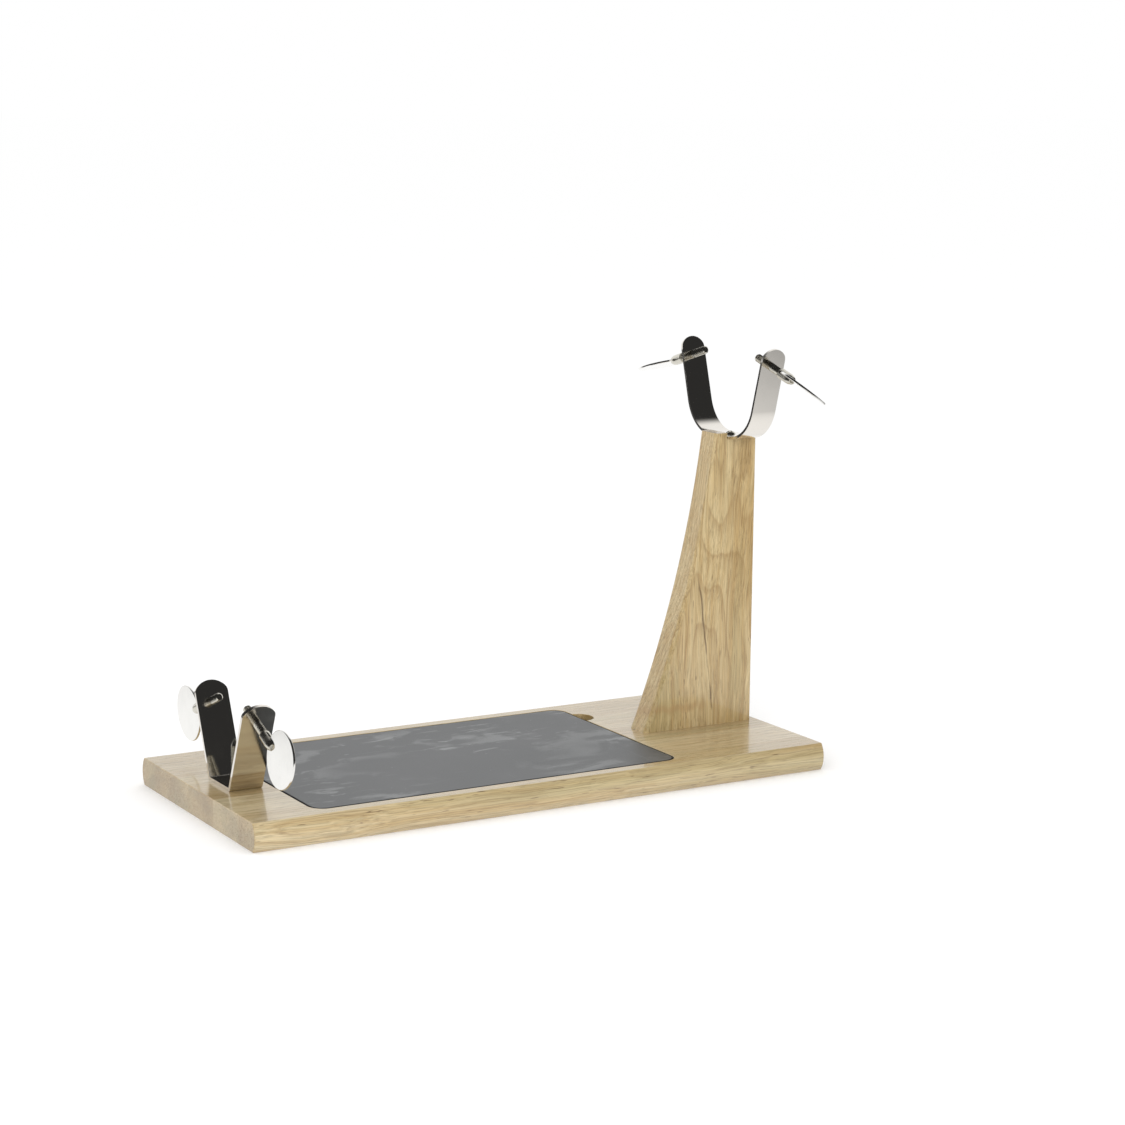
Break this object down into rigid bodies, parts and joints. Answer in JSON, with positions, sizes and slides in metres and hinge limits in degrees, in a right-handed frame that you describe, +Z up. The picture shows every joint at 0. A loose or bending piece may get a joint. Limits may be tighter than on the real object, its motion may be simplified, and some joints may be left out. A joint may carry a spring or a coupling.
{
  "type": "ham holder stand",
  "caption": "Wooden ham stand: board with a lift-out slate, an upright post with a U bracket for the shank, a V bracket with a spike, and thumb screws that grip the ham.",
  "frame": {"origin": "centre of the board's underside", "axes": "+Z up, +X along the board towards the post, +Y towards the long side that the finger hole is nearer to"},
  "size_m": [0.45, 0.2233, 0.305],
  "materials": {
    "board_wood": "satin lacquered pale oak",
    "post_wood": "satin lacquered pale oak, grain upright",
    "slate": "honed grey slate, stone",
    "bracket_nickel": "mirror bright nickel plate on steel strap",
    "screw_nickel": "bright nickel plate on steel",
    "fastener_zinc": "zinc plated"
  },
  "bodies": {
    "stand": {"base_board": "board_wood", "post": "post_wood", "lower_bracket": "bracket_nickel", "upper_bracket": "bracket_nickel", "spike_bolt": "screw_nickel", "post_screws": "fastener_zinc", "upper_bracket_screw": "screw_nickel"},
    "slate": {"slate_plate": "slate"},
    "lower_front_shank": {"lower_front_rod": "screw_nickel"},
    "lower_front_head": {"lower_front_collar": "screw_nickel", "lower_front_disc": "screw_nickel"},
    "lower_back_shank": {"lower_back_rod": "screw_nickel"},
    "lower_back_head": {"lower_back_collar": "screw_nickel", "lower_back_disc": "screw_nickel"},
    "upper_front_shank": {"upper_front_rod": "screw_nickel"},
    "upper_front_head": {"upper_front_collar": "screw_nickel", "upper_front_disc": "screw_nickel"},
    "upper_back_shank": {"upper_back_rod": "screw_nickel"},
    "upper_back_head": {"upper_back_collar": "screw_nickel", "upper_back_disc": "screw_nickel"}
  },
  "joints": [
    {"name": "slate_lift", "type": "slide", "parent": "stand", "child": "slate", "axis": [0, 0, 1], "range_m": [0, 0.08]},
    {"name": "lower_front_advance", "type": "slide", "parent": "stand", "child": "lower_front_shank", "axis": [0, -0.9219, -0.3875], "range_m": [-0.01105, 0.01605]},
    {"name": "lower_front_turn", "type": "hinge", "parent": "lower_front_shank", "child": "lower_front_head", "pos_m": [-0.196, -0.03784, 0.07045], "axis": [0, -0.9219, -0.3875], "range_deg": [-3960, 5760]},
    {"name": "lower_back_advance", "type": "slide", "parent": "stand", "child": "lower_back_shank", "axis": [0, 0.9219, -0.3875], "range_m": [-0.01605, 0.01105]},
    {"name": "lower_back_turn", "type": "hinge", "parent": "lower_back_shank", "child": "lower_back_head", "pos_m": [-0.196, 0.03784, 0.07045], "axis": [0, 0.9219, -0.3875], "range_deg": [-5760, 3960]},
    {"name": "upper_front_advance", "type": "slide", "parent": "stand", "child": "upper_front_shank", "axis": [0, -0.9613, -0.2756], "range_m": [-0.01005, 0.01705]},
    {"name": "upper_front_turn", "type": "hinge", "parent": "upper_front_shank", "child": "upper_front_head", "pos_m": [0.2034, -0.05182, 0.29165], "axis": [0, -0.9613, -0.2756], "range_deg": [-3600, 6120]},
    {"name": "upper_back_advance", "type": "slide", "parent": "stand", "child": "upper_back_shank", "axis": [0, 0.9613, -0.2756], "range_m": [-0.01205, 0.01505]},
    {"name": "upper_back_turn", "type": "hinge", "parent": "upper_back_shank", "child": "upper_back_head", "pos_m": [0.2034, 0.05182, 0.29165], "axis": [0, 0.9613, -0.2756], "range_deg": [-4320, 5400]}
  ],
  "couplings": [
    {"joint": "lower_front_advance", "follows": "lower_front_turn", "m_per_rad": 0.00015915},
    {"joint": "lower_back_advance", "follows": "lower_back_turn", "m_per_rad": 0.00015915},
    {"joint": "upper_front_advance", "follows": "upper_front_turn", "m_per_rad": 0.00015915},
    {"joint": "upper_back_advance", "follows": "upper_back_turn", "m_per_rad": 0.00015915}
  ]
}
